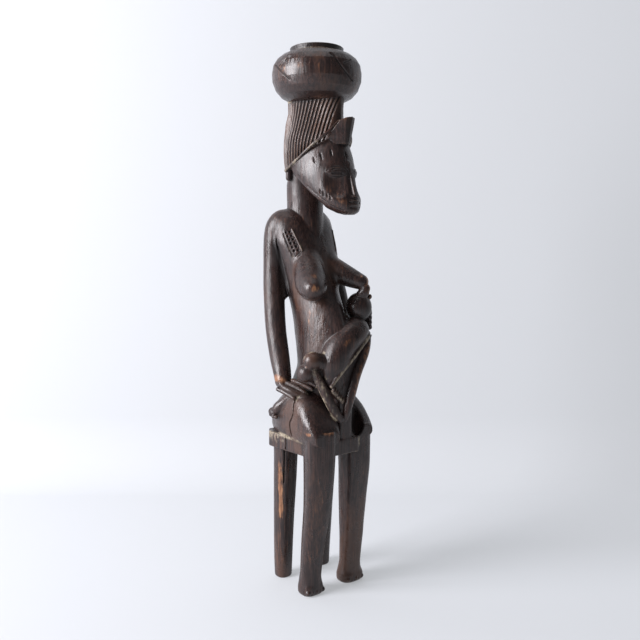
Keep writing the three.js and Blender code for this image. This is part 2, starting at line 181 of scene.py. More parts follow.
def section_distance(across, ahead, along, knots, columns, ends, carve=None):
    """A body through sections along an axis. The columns are the place across and ahead, half
    the width, the reach ahead and behind, and the powers ahead and behind."""
    centre_across, centre_ahead, half, front, back, n, back_n = [
        curve_through(along, knots, column) for column in columns
    ]
    u = across - centre_across
    v = ahead - centre_ahead
    reach = np.where(v > 0, front, back)
    power = np.where(v > 0, n, back_n)
    ratio = (np.abs(u / half) ** power + np.abs(v / reach) ** power) ** (1 / power)
    value = (ratio - 1) * np.minimum(half, reach)
    if carve is not None:
        value = value + carve(u / half, v / reach)
    body = true_distance(value)
    low, high = ends
    return np.maximum(body, np.maximum(low - along, along - high))


def stack(sections, about=BODY, carve=None):
    """Level sections from below upwards: height, place across, place ahead, half width, reach
    ahead, reach behind, power, and the power behind where it differs."""
    rows = [row if len(row) == 8 else (*row, row[-1]) for row in sections]
    knots = [row[0] for row in rows]
    columns = list(zip(*[row[1:] for row in rows]))
    ox, oy = about["origin"]
    sx, sy = about["side"]
    fx, fy = about["front"]

    def field(window):
        x = window.x - ox
        y = window.y - oy
        return section_distance(
            x * sx + y * sy, x * fx + y * fy, window.z, knots, columns, (knots[0], knots[-1]), carve)

    turn_room = 10 if about is HEAD else 0
    across = max(abs(row[1]) + row[3] for row in rows)
    wide = across + turn_room
    deep = max(across, *[abs(row[2]) + max(row[4], row[5]) for row in rows])
    return field, (ox - wide, oy - deep, knots[0]), (ox + wide, oy + deep, knots[-1])


def smooth_route(stops, per_span=5):
    """Points and radii along a smooth curve through the stops, with both ends drawn in by the
    end's radius, because the rounding adds it again."""
    stops = np.asarray(stops, float)
    padded = np.vstack([2 * stops[0] - stops[1], stops, 2 * stops[-1] - stops[-2]])
    points = []
    for i in range(len(stops) - 1):
        a, b, c, d = padded[i:i + 4]
        for t in np.linspace(0, 1, per_span, endpoint=False):
            points.append(0.5 * (
                2 * b + (c - a) * t + (2 * a - 5 * b + 4 * c - d) * t ** 2
                + (3 * b - a - 3 * c + d) * t ** 3))
    points = np.array([*points, stops[-1]])
    run = np.concatenate([[0], np.cumsum(np.linalg.norm(np.diff(points[:, :3], axis=0), axis=1))])
    start = min(stops[0, 3], run[-1] * 0.45)
    end = run[-1] - min(stops[-1, 3], run[-1] * 0.45)
    inside = (run > start) & (run < end)
    stations = np.concatenate([[start], run[inside], [end]])
    return np.array([np.interp(stations, run, points[:, k]) for k in range(4)]).T


def limb(stops, flat=None, thin=1.0, per_span=5):
    """A rounded limb. Each stop is x, y, z and radius. It is thinner in the flat direction."""
    route = smooth_route(stops, per_span)
    widest = route[:, 3].max()

    def field(window):
        best = None
        for a, b in zip(route[:-1], route[1:]):
            run = b[:3] - a[:3]
            dx = window.x - a[0]
            dy = window.y - a[1]
            dz = window.z - a[2]
            t = np.clip((dx * run[0] + dy * run[1] + dz * run[2]) / max(run @ run, 1e-6), 0, 1)
            wx = dx - t * run[0]
            wy = dy - t * run[1]
            wz = dz - t * run[2]
            square = wx * wx + wy * wy + wz * wz
            if flat is not None:
                lean = wx * flat[0] + wy * flat[1] + wz * flat[2]
                square = square + lean * lean * (1 / thin ** 2 - 1)
            value = np.sqrt(square) - (a[3] + t * (b[3] - a[3]))
            best = value if best is None else np.minimum(best, value)
        return best if flat is None else true_distance(best)

    low = route[:, :3].min(axis=0) - widest
    high = route[:, :3].max(axis=0) + widest
    return field, low, high


def ball(centre, radii, turn=0.0):
    """An egg shape, turned about the upright by an angle in degrees."""
    c = math.cos(math.radians(turn))
    s = math.sin(math.radians(turn))

    def field(window):
        x = window.x - centre[0]
        y = window.y - centre[1]
        z = window.z - centre[2]
        u = (x * c + y * s) / radii[0]
        v = (y * c - x * s) / radii[1]
        w = z / radii[2]
        near = length_of(u, v, w)
        far = length_of(u / radii[0], v / radii[1], w / radii[2])
        return near * (near - 1) / np.maximum(far, 1e-4)

    reach = max(radii)
    return field, np.array(centre) - reach, np.array(centre) + reach


def outline_distance(u, v, corners):
    """The distance from a closed outline in a plane, below zero inside it."""
    nearest = None
    inside = np.zeros(np.broadcast(u, v).shape, bool)
    for (u0, v0), (u1, v1) in zip(corners, [*corners[1:], corners[0]]):
        du = u1 - u0
        dv = v1 - v0
        t = np.clip(((u - u0) * du + (v - v0) * dv) / max(du * du + dv * dv, 1e-9), 0, 1)
        square = (u - u0 - t * du) ** 2 + (v - v0 - t * dv) ** 2
        nearest = square if nearest is None else np.minimum(nearest, square)
        if dv:
            inside ^= ((v0 > v) != (v1 > v)) & (u < du * (v - v0) / dv + u0)
    return np.where(inside, -1, 1) * np.sqrt(nearest)


def rounded_slab(outside, up, half, edge):
    """A slab with a rounded edge, from its outline's distance and the height above its middle."""
    a = outside + edge
    b = np.abs(up) - half + edge
    return length_of(np.maximum(a, 0), np.maximum(b, 0)) + np.minimum(np.maximum(a, b), 0) - edge


def plate(corners, front, back, edge):
    """An upright plate with this outline seen from the front, between two places along Y."""
    middle = (front + back) / 2
    half = (back - front) / 2

    def field(window):
        flat = outline_distance(window.x[:, :, 0], window.z[:, 0, :], corners)[:, None, :]
        return rounded_slab(flat, window.y - middle, half, edge).astype(np.float32)

    xs = [x for x, _ in corners]
    zs = [z for _, z in corners]
    return field, (min(xs), front, min(zs)), (max(xs), back, max(zs))


def bowl():
    """A turned bowl with a hollow that widens under its mouth, and a low upright lip."""
    outer = [
        (0, BOWL["bottom"] - 3), (20, BOWL["bottom"] - 3), (35, BOWL["bottom"] - 1), (45.5, 638.5),
        (52.5, 646.5), (56.5, 657), (57, 667), (55.3, 676.5), (50.8, 683.6), (44.5, 688.6),
        (38.5, 691.2), (BOWL["lip"] - 0.8, 692.2), (BOWL["lip"] - 0.9, 694), (BOWL["lip"], 698),
        (BOWL["lip"] - 1, HEIGHT - 0.1), (BOWL["mouth"] + 2, HEIGHT - 0.1),
    ]
    hollow = [
        (BOWL["mouth"] + 0.3, 697.6), (BOWL["mouth"] + 0.4, 692), (39, 685), (46, 677),
        (BOWL["outer"] - BOWL["wall"], 668), (46, 659), (39, 652), (26, 647), (0, 645.5),
    ]
    profile = outer + hollow

    def field(window):
        step = 0.4
        radius = np.arange(0, 66, step)
        height = window.z.reshape(-1)
        table = outline_distance(radius.reshape(-1, 1), height.reshape(1, -1), profile)
        away = length_of(window.x, window.y - BOWL["y"])
        cell = np.clip(away / step, 0, len(radius) - 2)[:, :, 0]
        i = cell.astype(int)
        part = (cell - i)[:, :, None]
        return ((1 - part) * table[i] + part * table[i + 1]).astype(np.float32)

    reach = BOWL["outer"] + 1
    low = (-reach, BOWL["y"] - reach, BOWL["bottom"] - 4)
    return field, low, (reach, BOWL["y"] + reach, HEIGHT)


def carve_bowl_lines(block):
    """A long slanting line met by a short one, round the bowl. A double one stands on each side."""
    front = [
        ([(19, 684.3), (13.6, 676.8), (6.2, 667.2), (-3.8, 659.3), (-17, 652.6)], 1.3),
        ([(2, 671), (-6, 674), (-13.6, 677.6)], 1.05),
    ]
    side = [
        ([(17.4, 674.6), (8, 669), (-3.7, 661.3), (-15, 651.7)], 1.1),
        ([(-14.5, 681), (-5.6, 673.6), (3.7, 666)], 0.85),
        ([(-12, 683), (-2.6, 675.6), (6.5, 668)], 0.85),
    ]
    near_skin = 54.5
    for quarter, lines in ((0, front), (88, side), (180, front), (268, side)):
        for line, radius in lines:
            places = []
            for turn, z in line:
                angle = math.radians(quarter + turn)
                ahead = near_skin * math.cos(angle)
                places.append((-near_skin * math.sin(angle), BOWL["y"] - ahead, z))
            groove(block, places, radius)


HAIRLINE = [
    (-60, 536), (-13, 546), (3, 553), (20, 562), (36, 573.5), (50, 583), (60, 594), (63, 607), (90, 660),
]


def above_hairline(window):
    """The distance above the hairline in the head's side view, below zero under it."""
    fx, fy = HEAD["front"]
    ox, oy = HEAD["origin"]
    ahead = (window.x - ox) * fx + (window.y - oy) * fy
    line = curve_through(ahead, [a for a, _ in HAIRLINE], [z for _, z in HAIRLINE])
    return (window.z - line) * 0.78


def hair():
    """Flutes that lean ahead as they rise, more at the front than at the back."""
    sections = [
        (540, 0, -8, 29, 24, 18, 2.2, 2.2), (562, 0, -3, 33, 38, 26, 2.2, 2.2),
        (582, 0, 5, 34.5, 49, 36, 2.1, 2.2), (604, 0, 9, 31.5, 46.5, 40, 1.75, 2.2),
        (622, 0, 9, 30, 47, 35.5, 1.65, 2.1), (646, 0, 9, 31.5, 49, 35.5, 1.65, 2.1),
    ]
    body, low, high = stack(sections, HEAD)
    ox, oy = HEAD["origin"]
    sx, sy = HEAD["side"]
    fx, fy = HEAD["front"]
    middle_ahead = 9
    half_wide = 31.0
    half_deep = 40.0

    def field(window):
        x = window.x - ox
        y = window.y - oy
        across = (x * sx + y * sy) / half_wide
        ahead = (x * fx + y * fy - middle_ahead) / half_deep
        angle = np.arctan2(across, ahead)
        lean = FLUTES["lean"] * np.cos(angle / 2) ** 2 * np.sign(angle)
        turn = angle + lean * (window.z - FLUTES["level"])
        wave = 0.5 + 0.5 * np.cos(turn * FLUTES["count"])
        fade = np.clip((np.abs(turn) - FLUTES["plain_band"]) / FLUTES["fade"], 0, 1)
        carved = body(window) + FLUTES["depth"] * (1 - wave ** 0.8) * fade
        return np.maximum(carved, -above_hairline(window))

    return field, low, high


def hairline_cord(side):
    return limb([
        head_stop(side * 31, -13, 546, 1.9), head_stop(side * 35, 3, 553, 1.9),
        head_stop(side * 36, 20, 562, 1.9), head_stop(side * 33.8, 36, 573.5, 1.9),
        head_stop(side * 28.6, 47, 582.5, 1.9), head_stop(side * 21, 53, 590, 1.9),
        head_stop(side * 12, 56, 599, 1.8), head_stop(side * 4, 57.5, 606, 1.7),
    ], per_span=3)


def mask():
    body, low, high = stack([
        (489, 0, 71, 6, 6, 8, 2, 2), (492, 0, 69, 13, 11.5, 16, 2, 2.5), (497, 0, 61, 20, 21, 16, 2, 3),
        (503, 0, 54, 25, 28, 12, 2, 3.5), (510, 0, 46, 29, 34.5, 10, 2.1, 4),
        (519, 0, 37, 32, 40.5, 11, 2.1, 4), (530, 0, 29, 34.5, 46, 16, 2.1, 3.8),
        (543, 0, 21, 36, 51, 25, 2.1, 3.2), (558, 0, 16, 35.5, 51.5, 36, 2.1, 2.3),
        (572, 0, 14, 33.5, 49, 42, 2.1, 2.1), (584, 0, 13, 30, 44, 41, 2.1, 2.1),
        (598, 0, 14, 24, 36, 40, 2.1, 2.1),
    ], HEAD)

    def field(window):
        return np.maximum(body(window), above_hairline(window))

    return field, low, high


def engraved(stops, radius, per_span=4):
    return limb([(*stop, radius) for stop in stops], per_span=per_span)


def hull(corners, sides):
    """A solid with flat sides. Each side is named by three of its corners."""
    corners = np.asarray(corners, float)
    middle = corners.mean(axis=0)
    planes = []
    for a, b, c in sides:
        normal = np.cross(corners[b] - corners[a], corners[c] - corners[a])
        normal /= np.linalg.norm(normal)
        if normal @ (corners[a] - middle) < 0:
            normal = -normal
        planes.append((normal, normal @ corners[a]))

    def field(window):
        value = None
        for normal, far in planes:
            side = window.x * normal[0] + window.y * normal[1] + window.z * normal[2] - far
            value = side if value is None else np.maximum(value, side)
        return value.astype(np.float32)

    return field, corners.min(axis=0), corners.max(axis=0)


def on_skin(block, point, lift=0.0):
    """The nearest place on the surface as carved so far, or that much above it."""
    point = np.array(point, float)
    for _ in range(6):
        slope = block.slope(point[None, :], 1.2)[0]
        size = max(np.linalg.norm(slope), 0.35)
        point = point - slope / size * (block.sample(point[None, :])[0] - lift) / size
    return point


def slit(block, low, high, radius):
    """A short deep cut that is widest in its middle, on the surface between two places."""
    low = on_skin(block, low)
    high = on_skin(block, high)
    middle = on_skin(block, (low + high) / 2)
    block.cut(limb([(*low, radius * 0.5), (*middle, radius), (*high, radius * 0.5)]), 0.4)


def groove(block, places, radius, per_span=4):
    """A cut line that follows the surface through the places."""
    block.cut(engraved([tuple(on_skin(block, place)) for place in places], radius, per_span), 0.4)


def carve_face(block):
    yaw = math.degrees(HEAD_YAW)
    block.add(mask(), 1.5)
    for side in (-1, 1):
        block.cut(ball(on_head(side * 24.1, 70.3, 533), (20, 10, 25), side * 43 + yaw), 3.0)
        block.add(eye(side), 0.4)
    carve_nose(block)
    block.add(ball(on_head(0, 76.2, 506.2), (10.0, 7.6, 1.9), yaw), 0.3)
    block.add(ball(on_head(0, 76.3, 500.8), (10.0, 7.6, 2.1), yaw), 0.3)
    block.cut(engraved([on_head(a, 83.4 - a * a * 0.045, 503.5) for a in (-10, -4, 4, 10)], 1.0), 0.3)
    block.cut(engraved([on_head(a, 83.0 - a * a * 0.045, 497.6) for a in (-9, -4, 4, 9)], 0.8), 0.8)
    for side in (-1, 1):
        carve_eye(block, side)
        for low, high in (
            ((32, 41.5, 552.5), (32, 38.5, 560)), ((27.5, 50, 555.5), (27.3, 46.5, 565)),
            ((19, 59, 560.5), (18.8, 56, 569)),
        ):
            slit(block, on_head(side * low[0], *low[1:]), on_head(side * high[0], *high[1:]), 1.35)
        for low, high in (
            ((29.7, 49.6, 513.6), (30.6, 48.4, 520.5)), ((28.3, 53.6, 511), (28.4, 52.4, 518)),
            ((26.6, 58.6, 508.5), (27.4, 57.6, 515.4)), ((24.8, 62.2, 506), (25.9, 61.4, 512.4)),
        ):
            slit(block, on_head(side * low[0], *low[1:]), on_head(side * high[0], *high[1:]), 1.4)
        groove(block, [on_head(side * across, ahead, z) for across, ahead, z in (
            (33.5, 30, 525), (31.5, 39, 517.5), (28.2, 49, 510), (24.5, 57.5, 503.6), (19, 66, 498),
            (12, 73.5, 494.5),
        )], 0.9)
    slit(block, on_head(-2, 66, 558), on_head(-2, 63, 567), 1.3)
    block.add(crest(), 0.6)


def carve_nose(block):
    """A long straight nose with sharp edges and a flared base."""
    corners = [
        on_head(-2.2, 69.0, 556), on_head(2.2, 69.0, 556), on_head(3.4, 56, 556), on_head(-3.4, 56, 556),
        on_head(-3.2, 83.0, 511), on_head(3.2, 83.0, 511), on_head(6.2, 68, 511), on_head(-6.2, 68, 511),
    ]
    sides = [(0, 1, 4), (1, 2, 5), (0, 3, 4), (0, 1, 2), (4, 5, 6), (2, 3, 6)]
    block.add(hull(corners, sides), 0.6)
    block.add(ball(on_head(0, 77.6, 511.2), (7.4, 5.4, 2.0), math.degrees(HEAD_YAW)), 0.8)


def eye(side):
    turn = side * EYE["turn"] + math.degrees(HEAD_YAW)
    middle = on_head(side * EYE["across"], EYE["ahead"], EYE["z"])
    return ball(middle, (EYE["wide"], EYE["deep"], EYE["high"]), turn)


def carve_eye(block, side):
    """Lids as lines that follow the eye's own outline, and a slit below its middle."""
    wide, deep, high = EYE["wide"], EYE["deep"], EYE["high"]
    angle = math.radians(side * EYE["turn"]) + HEAD_YAW
    middle = np.array(on_head(side * EYE["across"], EYE["ahead"], EYE["z"]))
    along = np.array([math.cos(angle), math.sin(angle), 0])
    out = np.array([along[1], -along[0], 0])

    def on_eye(u, w):
        bulge = math.sqrt(max(1 - (u / wide) ** 2 - (w / high) ** 2, 0))
        return middle + along * u + out * deep * bulge + np.array([0, 0, w])

    def lid(share, start, end):
        turns = np.linspace(math.radians(start), math.radians(end), 12)
        return [on_eye(wide * share * math.cos(t), high * share * math.sin(t)) for t in turns]

    groove(block, lid(0.78, 6, 174), 0.95, 2)
    groove(block, lid(0.46, 8, 172), 0.8, 2)
    groove(block, lid(0.80, 195, 345), 0.85, 2)
    groove(block, [on_eye(u, -2.2) for u in (-7.5, -3, 3, 7.5)], 1.25, 3)


def crest():
    """The prow over the brow. A leaning wedge with a narrow front and a flat facet on each side."""
    corners = [
        on_head(-19.5, 51.5, 585), on_head(19.5, 51.5, 585), on_head(-7.6, 72.5, 606.5),
        on_head(7.6, 72.5, 606.5), on_head(0, 75.2, 609), on_head(-5.4, 67, 576.2),
        on_head(5.4, 67, 576.2), on_head(-13, 57.5, 576.2), on_head(13, 57.5, 576.2),
        on_head(0, 38, 576.2), on_head(0, 38, 587), on_head(-12.5, 65.7, 604.7), on_head(12.5, 65.7, 604.7),
    ]
    sides = [
        (0, 2, 5), (1, 3, 6), (11, 12, 4), (0, 11, 10), (1, 12, 10), (2, 4, 5), (3, 4, 6), (5, 6, 7),
        (0, 7, 9), (1, 8, 9),
    ]
    return hull(corners, sides)


def nape_lock(side):
    return limb([head_stop(side * 26.5, -10, 551, 4.2), head_stop(side * 27, -11, 534, 3.4)])


def neck():
    y = NECK["y"]
    radius = NECK["radius"]
    return stack([
        (454, 0, -y + 2, radius - 9, radius + 2, radius - 9, 2),
        (464, 0, -y, radius - 2.5, radius + 4.5, radius - 4, 2),
        (478, 0, -y, radius, radius + 2.5, radius - 1, 2),
        (500, 0, -y, radius, radius + 0.3, radius, 2), (528, 0, -y, radius + 1, radius, radius - 1, 2),
        (549, 0, 8 - y, radius + 1, radius, radius - 6, 2),
    ])


def torso():
    """The body from the seat to the neck. It is deepest at the belly and leans back above it."""
    return stack([
        (196, 0, 3, 42, 46, 42, 2.4), (225, 0, 0, 41, 44, 40, 2.4), (252, 0, 2, 38, 43, 40, 2.2),
        (275, 0, 8, 33, 42, 39, 1.85, 2.1), (297, 0, 13, 29, 42, 38, 1.65, 2),
        (318, 0, 13, 28.5, 45, 42, 1.65, 2), (340, 0, 11, 28.5, 47, 45, 1.65, 2),
        (357, 0, 8, 29, 45, 45, 1.65, 2), (374, 0, 2, 30, 43, 43, 1.7, 2),
        (394, 0, -7, 32.5, 39, 39, 1.85, 2.1), (418, 0, -14, 37, 38, 37, 2.2),
        (440, -1, -20, 41.5, 36, 35, 2.3),
        (458, -2, -25, 45, 32, 30, 2.3), (474, -2, -28, 44, 28, 26, 2.3), (486, -2, -29, 40, 24, 23, 2.2),
        (494, -1, -29, 34, 18, 19, 2.1), (499, -1, -29, 24, 12, 13, 2),
    ])


def carve_breasts(block):
    block.add(limb([
        (-14, 4, 440, 11), (-20.5, -11, 424, 17), (-27.5, -26, 404.5, 20.5), (-35.5, -40, 398.5, 15.5),
        (-41.5, -50, 396.5, 8),
    ]), 5.0)
    block.add(ball((-42.2, -52.2, 397.5), (2.3, 2.3, 2.0)), 1.0)
    block.add(limb([
        (9, 6, 432, 11), (17, -9, 423, 14.5), (26, -25, 413.5, 14), (36, -41.5, 405.5, 11),
        (42.5, -52, 401.5, 8),
    ]), 6.0)
    block.add(limb([(42.5, -51.5, 402.5, 7.2), (39.5, -52, 392, 6.2), (39, -50, 384, 7)]), 2.0)


def carve_arms(block):
    block.add(limb([
        (-22, 30, 488, 11), (-31.5, 34, 479, 17), (-36, 39, 463, 16.3), (-38, 41, 425, 14.5),
        (-40, 39, 390, 14), (-43, 31.5, 345, 13.5), (-45, 20, 308, 13), (-48, 9, 285, 11.5),
        (-50.5, 2, 267, 10),
    ]), 2.5)
    block.add(limb([
        (22, 32, 487, 11), (32, 35, 478, 16), (38.5, 38, 458, 15.5), (44.5, 30, 422, 14),
        (48.5, 18, 388, 13.5), (49, 9, 362, 13), (49.3, 0, 348, 12.5), (49.5, -14, 348, 11.5),
        (50, -29, 353, 10),
    ]), 2.5)
    for side in (-1, 1):
        block.add(limb([(side * 31, 36, 452, 8), (side * 32, 33, 412, 8), (side * 31, 30, 380, 6.5)]), 2.0)
        block.cut(limb([
            (side * 45.5, 24, 460, 1.5), (side * 42, 22.5, 441, 3.2), (side * 38, 21.5, 420, 4.2),
            (side * 34.5, 19.5, 400, 4.5), (side * 33, 17, 380, 4.5),
        ]), 1.0)


def carve_right_hand(block):
    """The flat hand on the thigh: its back slopes from the wrist to straight parallel fingers."""
    block.add(limb([
        (-50, 8, 280, 10), (-51, -2, 269.5, 10.5), (-46, -13, 265, 12), (-37, -24, 262, 11),
        (-30, -32, 263, 9),
    ], (0.45, -0.35, 0.82), 0.5), 1.5)
    fingers = [
        ((-59.5, 6, 267.5), (-51.3, -24.5, 257.5)), ((-56.5, 0, 272), (-46.3, -29, 261.3)),
        ((-53, -5, 276.5), (-40, -32.5, 265.3)), ((-48.5, -11, 280), (-34, -39, 269.5)),
        ((-43, -18, 283), (-29, -44, 273.5)),
    ]
    for start, tip in fingers:
        middle = [(a + b) / 2 for a, b in zip(start, tip)]
        block.add(limb([(*start, 2.9), (middle[0], middle[1], middle[2] + 0.8, 3.0), (*tip, 2.6)]), 0.25)


def carve_left_hand(block):
    block.add(limb([(50, -24, 352, 10), (50.5, -33, 359, 12), (51, -40, 364, 12)], (1, 0, 0), 0.55), 2.0)
    for i in range(4):
        block.add(limb([
            (51, -37, 372 - 5 * i, 4.2), (52, -45, 368 - 6.5 * i, 4), (49.5, -51, 360 - 6 * i, 3.2),
        ]), 0.7)


def thigh(side, knee_front, knee_drop):
    """Sections from the buttock to the knee: place ahead, across, top, underside, half width, power."""
    sections = [
        (-46, 22, 214, 204, 8, 2), (-44, 23, 228, 199, 16, 2), (-37, 25, 242, 195, 21, 2),
        (-22, 28, 257, 193, 24, 2.1), (-2, 30.5, 264, 193, 25.5, 2.3), (20, 31, 267, 193, 25.5, 2.4),
        (38, 31.5, 260, 195, 25.5, 2.4), (54, 31.5, 243.5, 199, 24, 2.5), (63, 32, 230, 200, 21.5, 2.6),
        (67.8, 32.5, 220.5, 202, 18.8, 2.8),
    ]
    first_drop = 3
    turn = 20
    stretch = (-knee_front - turn) / (-KNEE_FRONT["right"] - turn)
    knots = []
    columns = []
    for i, (ahead, across, top, low, half, n) in enumerate(sections):
        drop = max(i - first_drop, 0) / (len(sections) - 1 - first_drop)
        high = top - knee_drop * math.sin(math.pi * drop) - knee_drop * 0.3 * drop
        knots.append(ahead if ahead < turn else turn + (ahead - turn) * stretch)
        tall = (high - low) / 2
        columns.append((side * across, (high + low) / 2, half - knee_drop * 0.15 * drop, tall, tall, n, n))
    columns = list(zip(*columns))

    def field(window):
        return section_distance(
            window.x, window.z, -window.y, knots, columns, (knots[0], knots[-1]))

    return field, (side * 32 - 27, -knots[-1], 192), (side * 32 + 27, -knots[0], 268)


def shin(side, knee_front, outward, turn):
    """The shin under the knee. Its broad face is turned by this many degrees."""
    top = -(knee_front + 18)
    foot = side * FOOT["across"] - 1 + outward
    ahead = (FOOT["ahead"] + top) / 2
    c = math.cos(math.radians(turn))
    s = math.sin(math.radians(turn))
    about = {"origin": (side * 33, -ahead), "side": (c, s), "front": (s, -c)}
    rows = [
        (2, foot, FOOT["ahead"], 12.5, 13, 12.5, 2.4), (24, foot, FOOT["ahead"] + 1, 13.5, 13, 13, 2.4),
        (70, side * 33 + outward, ahead - 3, 15, 14.5, 14.5, 2.7),
        (120, side * 33 + outward / 2, top - 4, 17, 16.5, 16.5, 3), (170, side * 33, top, 19, 18, 18, 3.2),
        (200, side * 32.5, top, 19.5, 18.3, 18.5, 3.4), (213, side * 32.5, top, 19.3, 18.2, 18, 3.6),
        (219.5, side * 32, top, 18, 17.9, 14, 3.6),
    ]
    turned = []
    for z, across, forward, *shape in rows:
        dx = across - about["origin"][0]
        dy = ahead - forward
        turned.append((z, dx * c + dy * s, dx * s - dy * c, *shape))
    return stack(turned, about)


def carve_foot(block, side, outward):
    foot = side * FOOT["across"] - 1 + outward
    ahead = FOOT["ahead"]
    block.add(stack([
        (0, foot, ahead, 14.0 + outward, 12.5, 12.5, 2.8),
        (3, foot, ahead, 15.3 + outward, 14.6, 13.5, 2.8), (8, foot, ahead, 15.5 + outward, 15, 13.5, 2.8),
        (16, foot, ahead, 14.5 + outward / 2, 13.6, 13.5, 2.5),
        (FOOT["height"], foot, ahead, 12.5, 12.5, 12.5, 2.4),
    ]), 1.5)
    for i in range(5):
        place = (i - 2) * 6.0
        reach = 14.6 - abs(i - 2) * 0.9
        block.add(limb([
            (foot + place * 0.8, -ahead - reach + 9, 9, 3.6), (foot + place, -ahead - reach - 1.2, 3.4, 3.3),
        ]), 0.8)


def rear_post(side):
    return stack([
        (0, side * 32.5, -32, 9.5, 9.5, 9.5, 2.4), (1.5, side * 32.5, -32, 10.8, 10.8, 10.8, 2.4),
        (6, side * 32.5, -32, 11.2, 11.2, 11.2, 2.4), (80, side * 33, -29, 13, 13, 13, 2.4),
        (150, side * 33, -25, 14.8, 14.8, 14.8, 2.4), (195, side * 33, -23, 15.5, 15.5, 15.5, 2.4),
    ])


def seat():
    corners = [
        (-46, -56), (-20, -60), (22, -60.5), (26, -58), (27.5, -52), (46, -52), (51, 26), (44, 46),
        (-45, 46), (-53, 34), (-53, 24),
    ]
    middle = (SEAT["top"] + SEAT["bottom"]) / 2
    half = (SEAT["top"] - SEAT["bottom"]) / 2

    def field(window):
        flat = outline_distance(window.x[:, :, 0], window.y[:, :, 0], corners)[:, :, None]
        return rounded_slab(flat, window.z - middle, half, 1.6).astype(np.float32)

    return field, (-54, -61, SEAT["bottom"]), (52, 47, SEAT["top"])


def web():
    return stack([
        (198, 4, 51, 11, 9, 40, 3.4), (225, 4, 52, 11, 9, 40, 3.4), (250, 2, 53, 11, 9, 40, 3.2),
        (268, 1, 54, 9, 9, 30, 2.6), (284, 5, 52, 8, 8, 20, 2.4),
    ])


def carve_child(block):
    """The child's body slants over the lap, its legs lie to her right, and a flat panel between two
    ridges hangs beside it."""
    block.add(limb([
        (34, -46, 352, 13), (27, -47.5, 341, 18.5), (12, -49.5, 333, 20), (-1, -50, 320, 19.8),
        (-8.5, -49.5, 304, 18.5), (-13, -48.5, 288, 14), (-16, -47.5, 275, 9),
    ]), 1.0)
    block.cut(plate([
        (40, 336), (-21.5, 274), (-16, 262), (10, 225), (60, 300), (60, 336),
    ], -92, -61.3, 1.0), 1.0)
    block.add(plate([
        (46, 336), (37, 334), (-21, 275), (-19, 271), (-6, 253), (-7, 236), (7, 230), (11, 255), (27, 297),
    ], -60.8, -44.0, 1.5), 0.6)
    block.add(limb([
        (43, -55, 340, 3), (37.5, -60.5, 333.5, 3.2), (24, -62.8, 321, 2.8), (13, -63.5, 311, 2.7),
        (-9.5, -63.5, 291, 2.7), (-24, -61.5, 274.5, 2.4),
    ]), 0.6)
    block.add(limb([
        (44, -53, 336, 5), (34, -58.5, 316, 6.8), (17, -61.5, 287, 7), (6.5, -62.3, 258, 6.6),
        (0.5, -62.5, 238, 4.8), (-2, -61.5, 228, 3),
    ]), 0.8)
    for i in range(6):
        share = i / 5
        x = -20.5 + 14.5 * share
        z = 270 - 16.5 * share
        block.add(limb([
            (x + 2.5, -61 - share, z + 6.5, 1.4), (x + 0.6, -62.4 - share, z + 2, 1.6),
            (x, -61 - share, z - 1, 1.4),
        ], per_span=2), 0.3)
    block.add(limb([(-21, -60.5, 271, 2.2), (-13, -61, 262, 2.0), (-5.5, -61.5, 253, 2.2)], per_span=3), 0.4)
    block.add(limb([
        (-24, -30, 279, 10), (-36, -20, 269, 8.5), (-44, -6, 257, 8), (-48, 2, 249, 7.5), (-53, 9, 242, 7.5),
        (-56.5, 14, 234, 7),
    ]), 1.0)
    block.add(limb([(-55, 10, 232, 6), (-56.2, 18, 234, 6), (-56.5, 24, 235, 4.5)]), 1.0)
    for place in ((-59.5, 7.5, 229.5), (-59.9, 13, 229.5), (-59.9, 18.5, 231)):
        block.add(ball(place, (2.6, 2.9, 2.6)), 0.6)
    block.add(limb([(-8, -45, 298, 11), (-22, -44.5, 304, 11.5), (-38, -43, 307, 12)]), 1.5)
    block.add(ball((-37.6, -43.0, 307.5), (12.4, 12.2, 11.6)), 3.0)
    block.add(limb([(-18, -38, 288, 12), (-40, -37, 291, 12)]), 0.8)
    block.add(ball((-43.8, -36.3, 291.6), (11, 12, 11.5)), 1.2)
    block.add(ball((-43, -41.5, 299), (5.5, 6, 5)), 2.5)
    block.add(limb([
        (-42.5, -43, 302, 4.2), (-35.5, -47.5, 289, 5.4), (-28.5, -52.5, 272, 6.0), (-20.5, -57, 253, 6.2),
        (-13, -60, 239, 6.0), (-4, -61.5, 229, 5),
    ], (0.4, 0.85, 0.3), 0.75), 0.3)
    block.add(ball((38.6, -41.5, 370.5), (17, 16.8, 19.6)), 0.8)
    block.add(limb([(36, -44, 383, 8.5), (38.5, -49.5, 389, 7), (41, -52, 394, 6)]), 1.5)
    block.add(ball((50, -50, 384.5), (2.6, 3.0, 3.4)), 0.4)


